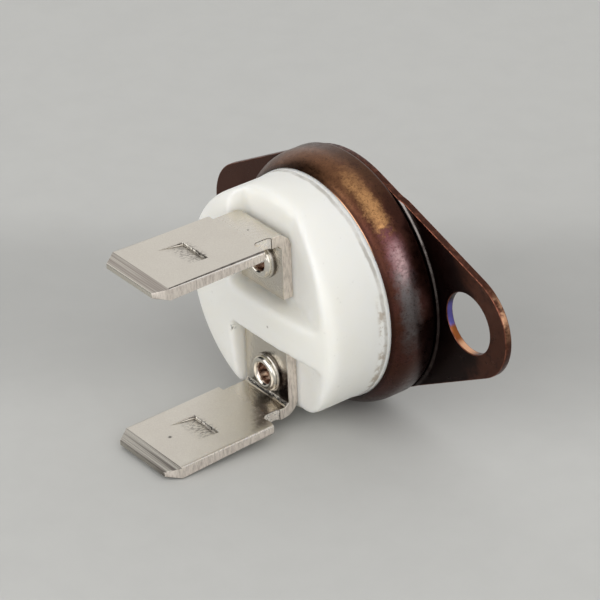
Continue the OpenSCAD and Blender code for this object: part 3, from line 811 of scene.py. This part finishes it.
class THERMOSTAT_OT_switch(bpy.types.Operator):
    """Finishes the working pieces inside the body"""
    bl_idname = "thermostat.switch"
    bl_label = "Switch inside"

    def domed_pin(self, ceramic):
        """The pin with a slightly domed upper end, which rolls along the leaf as it lifts it."""
        low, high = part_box("push_pin")
        radius = (high[0] - low[0]) / 2
        flat = radius - PIN_EDGE
        sag = PIN_DOME - math.sqrt(PIN_DOME ** 2 - flat ** 2)
        profile = [(0, low[2]), (flat, low[2]), (radius, low[2] + PIN_EDGE)]
        profile.append((radius, high[2] - PIN_EDGE - sag))
        for step in range(PIN_RINGS + 1):
            out = flat * (1 - step / PIN_RINGS)
            profile.append((out, high[2] - PIN_DOME + math.sqrt(PIN_DOME ** 2 - out ** 2)))
        bm = bmesh.new()
        verts = [bm.verts.new((x, 0, z)) for x, z in profile]
        edges = [bm.edges.new(pair) for pair in zip(verts, verts[1:])]
        bmesh.ops.spin(bm, geom=verts + edges, cent=(0, 0, 0), axis=(0, 0, 1), dvec=(0, 0, 0),
                       angle=2 * math.pi, steps=PIN_STEPS, use_merge=True, use_duplicate=False)
        bmesh.ops.remove_doubles(bm, verts=bm.verts, dist=WELD)
        bmesh.ops.recalc_face_normals(bm, faces=bm.faces)
        finished("domed_pin", bm, [ceramic], "push_pin", angle=30.0, body="push_pin")

    def bent_leaf(self, bronze):
        """A flat leaf, cut across at even steps over a stretch in front of its rivet."""
        low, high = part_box("rivet_b")
        start = (Vector(low) + Vector(high)) / 2 + ALONG * LEAF_CLAMP
        end = start + ALONG * LEAF_BEND
        bm = node_mesh("spring_leaf")
        for step in range(LEAF_CUTS + 1):
            bmesh.ops.bisect_plane(bm, geom=bm.verts[:] + bm.edges[:] + bm.faces[:], dist=CUT_SLACK,
                                   plane_co=start.lerp(end, step / LEAF_CUTS), plane_no=ALONG)
        leaf = new_piece("bent_leaf", bm, [bronze])
        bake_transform(leaf)
        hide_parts("spring_leaf")

    def execute(self, context):
        dress("bimetal_disc", plain_finish("Bimetal", BIMETAL, metallic=1.0, rough=(0.28, 0.45), scale=1.2))
        dress("guide_plate", plain_finish("Guide ceramic", GUIDE, metallic=0.0, rough=(0.45, 0.6)))
        self.domed_pin(plain_finish("Pin ceramic", PIN, metallic=0.0, rough=(0.35, 0.5), scale=3.0))
        bronze = plain_finish("Spring bronze", BRONZE, metallic=1.0, rough=(0.25, 0.42), scale=2.0,
                              stretch=(1, 0.15, 1))
        dress("contact_carrier", bronze)
        self.bent_leaf(bronze)
        silver = plain_finish("Contact silver", SILVER, metallic=1.0, rough=(0.22, 0.4), scale=4.0)
        for node in ("moving_contact", "fixed_contact"):
            dress(node, silver)
        return {"FINISHED"}


def floor_finish(s, near, foot):
    """Pale floor with painted shade in a soft belt behind the part, and clear when seen from below."""
    f = Finish("Studio floor", Roughness=0.85)
    f.shader.inputs["Specular IOR Level"].default_value = 0.2
    depth = f.measure("DOT_PRODUCT", f.moved(offset=-foot / MM), near)
    # Painted shade: the floor darkened in a soft belt near the part
    belt = f.band(depth, *FLOOR_SHADE_BELT)
    belt = f.maths("MULTIPLY", belt, f.span(f.noise(0.06, 3, 0.5), 0.2, 0.8, 0.7, 1.0))
    tint = f.mixed(belt, rgb(s.floor), tuple(0.82 * c for c in s.floor))
    f.colour(f.mixed(f.span(f.noise(0.35, 4, 0.6), 0.3, 0.75, 0.0, 0.06), tint, FLOOR_FLECK))
    seen = f.add("ShaderNodeLightPath").outputs["Is Camera Ray"]
    behind = f.add("ShaderNodeNewGeometry").outputs["Backfacing"]
    clear = f.add("ShaderNodeBsdfTransparent").outputs["BSDF"]
    f.either(f.maths("MULTIPLY", seen, behind), f.shader.outputs["BSDF"], clear,
             f.tree.nodes["Material Output"].inputs["Surface"])
    return f.material


class THERMOSTAT_OT_stage(bpy.types.Operator):
    """Lays the floor under the part as it lies, and sets light and camera"""
    bl_idname = "thermostat.stage"
    bl_label = "Stage"

    def execute(self, context):
        scene = context.scene
        s = scene.thermostat.stage
        up = ALONG * math.cos(s.lie) - Vector((0, 0, math.sin(s.lie)))
        lowest = min(v.co.dot(up) for node in NODES.values() for v in node.data.vertices)
        foot = MIDDLE + up * (lowest - MIDDLE.dot(up))
        turn = Euler(s.aim, "XYZ").to_matrix()
        right = turn @ Vector((1, 0, 0))
        back = turn @ Vector((0, 0, 1))
        near = (back - up * back.dot(up)).normalized()
        axes = Matrix((up, right, near)).transposed()

        bm = bmesh.new()
        bmesh.ops.create_circle(bm, cap_ends=True, segments=FLOOR_SIDES, radius=FLOOR_RADIUS)
        floor = new_piece("floor", bm, [floor_finish(s, near, foot)])
        floor.data.transform(up.to_track_quat("Z", "Y").to_matrix().to_4x4())
        floor.data.transform(Matrix.Translation(foot))

        camera = bpy.data.cameras.new("camera")
        camera.lens = s.lens
        camera.sensor_width = SENSOR_WIDTH
        camera.clip_start, camera.clip_end = SEEN
        eye = bpy.data.objects.new("camera", camera)
        eye.location = s.eye
        eye.rotation_euler = Euler(s.aim, "XYZ")
        scene.collection.objects.link(eye)
        scene.camera = eye

        for name, (way, width) in LAMPS.items():
            self.lamp(scene, name, MIDDLE + axes @ Vector(way), width, getattr(s, name))
        self.room(scene, axes, s)
        scene.view_settings.view_transform = "Standard"
        return {"FINISHED"}

    def lamp(self, scene, name, place, width, power):
        """A round lamp that shines on the part."""
        light = bpy.data.lights.new(name, "AREA")
        light.shape = "DISK"
        light.size = width
        light.energy = power
        lamp = bpy.data.objects.new(name, light)
        lamp.location = place
        lamp.rotation_euler = (MIDDLE - place).to_track_quat("-Z", "Y").to_euler()
        scene.collection.objects.link(lamp)

    def room(self, scene, axes, s):
        """A room that is brighter behind, dark in one corner, and pale to the camera past the floor."""
        world = scene.world or bpy.data.worlds.new("room")
        scene.world = world
        world.use_nodes = True
        world.node_tree.nodes.clear()
        room = ShaderTree(world.node_tree)
        look = room.add("ShaderNodeTexCoord").outputs["Generated"]
        open_way, dark_way = ((axes @ Vector(way)).normalized() for way in (OPEN_WAY, DARK_WAY))
        open_side = room.span(room.measure("DOT_PRODUCT", look, open_way), *OPEN_LIGHT)
        corner = room.span(room.measure("DOT_PRODUCT", look, dark_way), *DARK_LIGHT)
        glow = room.maths("MULTIPLY", room.maths("MULTIPLY", open_side, corner), s.world)
        lit = room.add("ShaderNodeBackground")
        room.join(glow, lit.inputs["Strength"])
        pale = room.add("ShaderNodeBackground")
        pale.inputs["Color"].default_value = (*s.floor, 1.0)
        seen = room.add("ShaderNodeLightPath").outputs["Is Camera Ray"]
        room.either(seen, lit.outputs["Background"], pale.outputs["Background"],
                    room.add("ShaderNodeOutputWorld").inputs["Surface"])


class THERMOSTAT_PT_panel(bpy.types.Panel):
    """Lists the thermostat's settings and pieces"""
    bl_label = "Thermostat"
    bl_idname = "THERMOSTAT_PT_panel"
    bl_space_type = "VIEW_3D"
    bl_region_type = "UI"
    bl_category = "Thermostat"

    def draw(self, context):
        settings = context.scene.thermostat
        for group, operators in (("ceramic", (THERMOSTAT_OT_ceramic,)), ("copper", (THERMOSTAT_OT_copper,)),
                                 ("tabs", (THERMOSTAT_OT_tabs, THERMOSTAT_OT_rivets, THERMOSTAT_OT_switch)),
                                 ("stage", (THERMOSTAT_OT_stage,))):
            box = self.layout.box()
            values = getattr(settings, group)
            for name in values.bl_rna.properties.keys():
                if name not in ("rna_type", "name"):
                    box.prop(values, name)
            for operator in operators:
                box.operator(operator.bl_idname)


CLASSES = (CeramicSettings, CopperSettings, TabSettings, StageSettings, ThermostatSettings,
           THERMOSTAT_OT_ceramic, THERMOSTAT_OT_copper, THERMOSTAT_OT_tabs, THERMOSTAT_OT_rivets,
           THERMOSTAT_OT_switch, THERMOSTAT_OT_stage, THERMOSTAT_PT_panel)


def register():
    for cls in CLASSES:
        bpy.utils.register_class(cls)
    bpy.types.Scene.thermostat = PointerProperty(type=ThermostatSettings)


def unregister():
    del bpy.types.Scene.thermostat
    for cls in reversed(CLASSES):
        bpy.utils.unregister_class(cls)


def main():
    """Finishes every piece and sets the stage."""
    register()
    bpy.ops.thermostat.ceramic()
    bpy.ops.thermostat.copper()
    bpy.ops.thermostat.tabs()
    bpy.ops.thermostat.rivets()
    bpy.ops.thermostat.switch()
    bpy.ops.thermostat.stage()


if __name__ == "__main__":
    main()
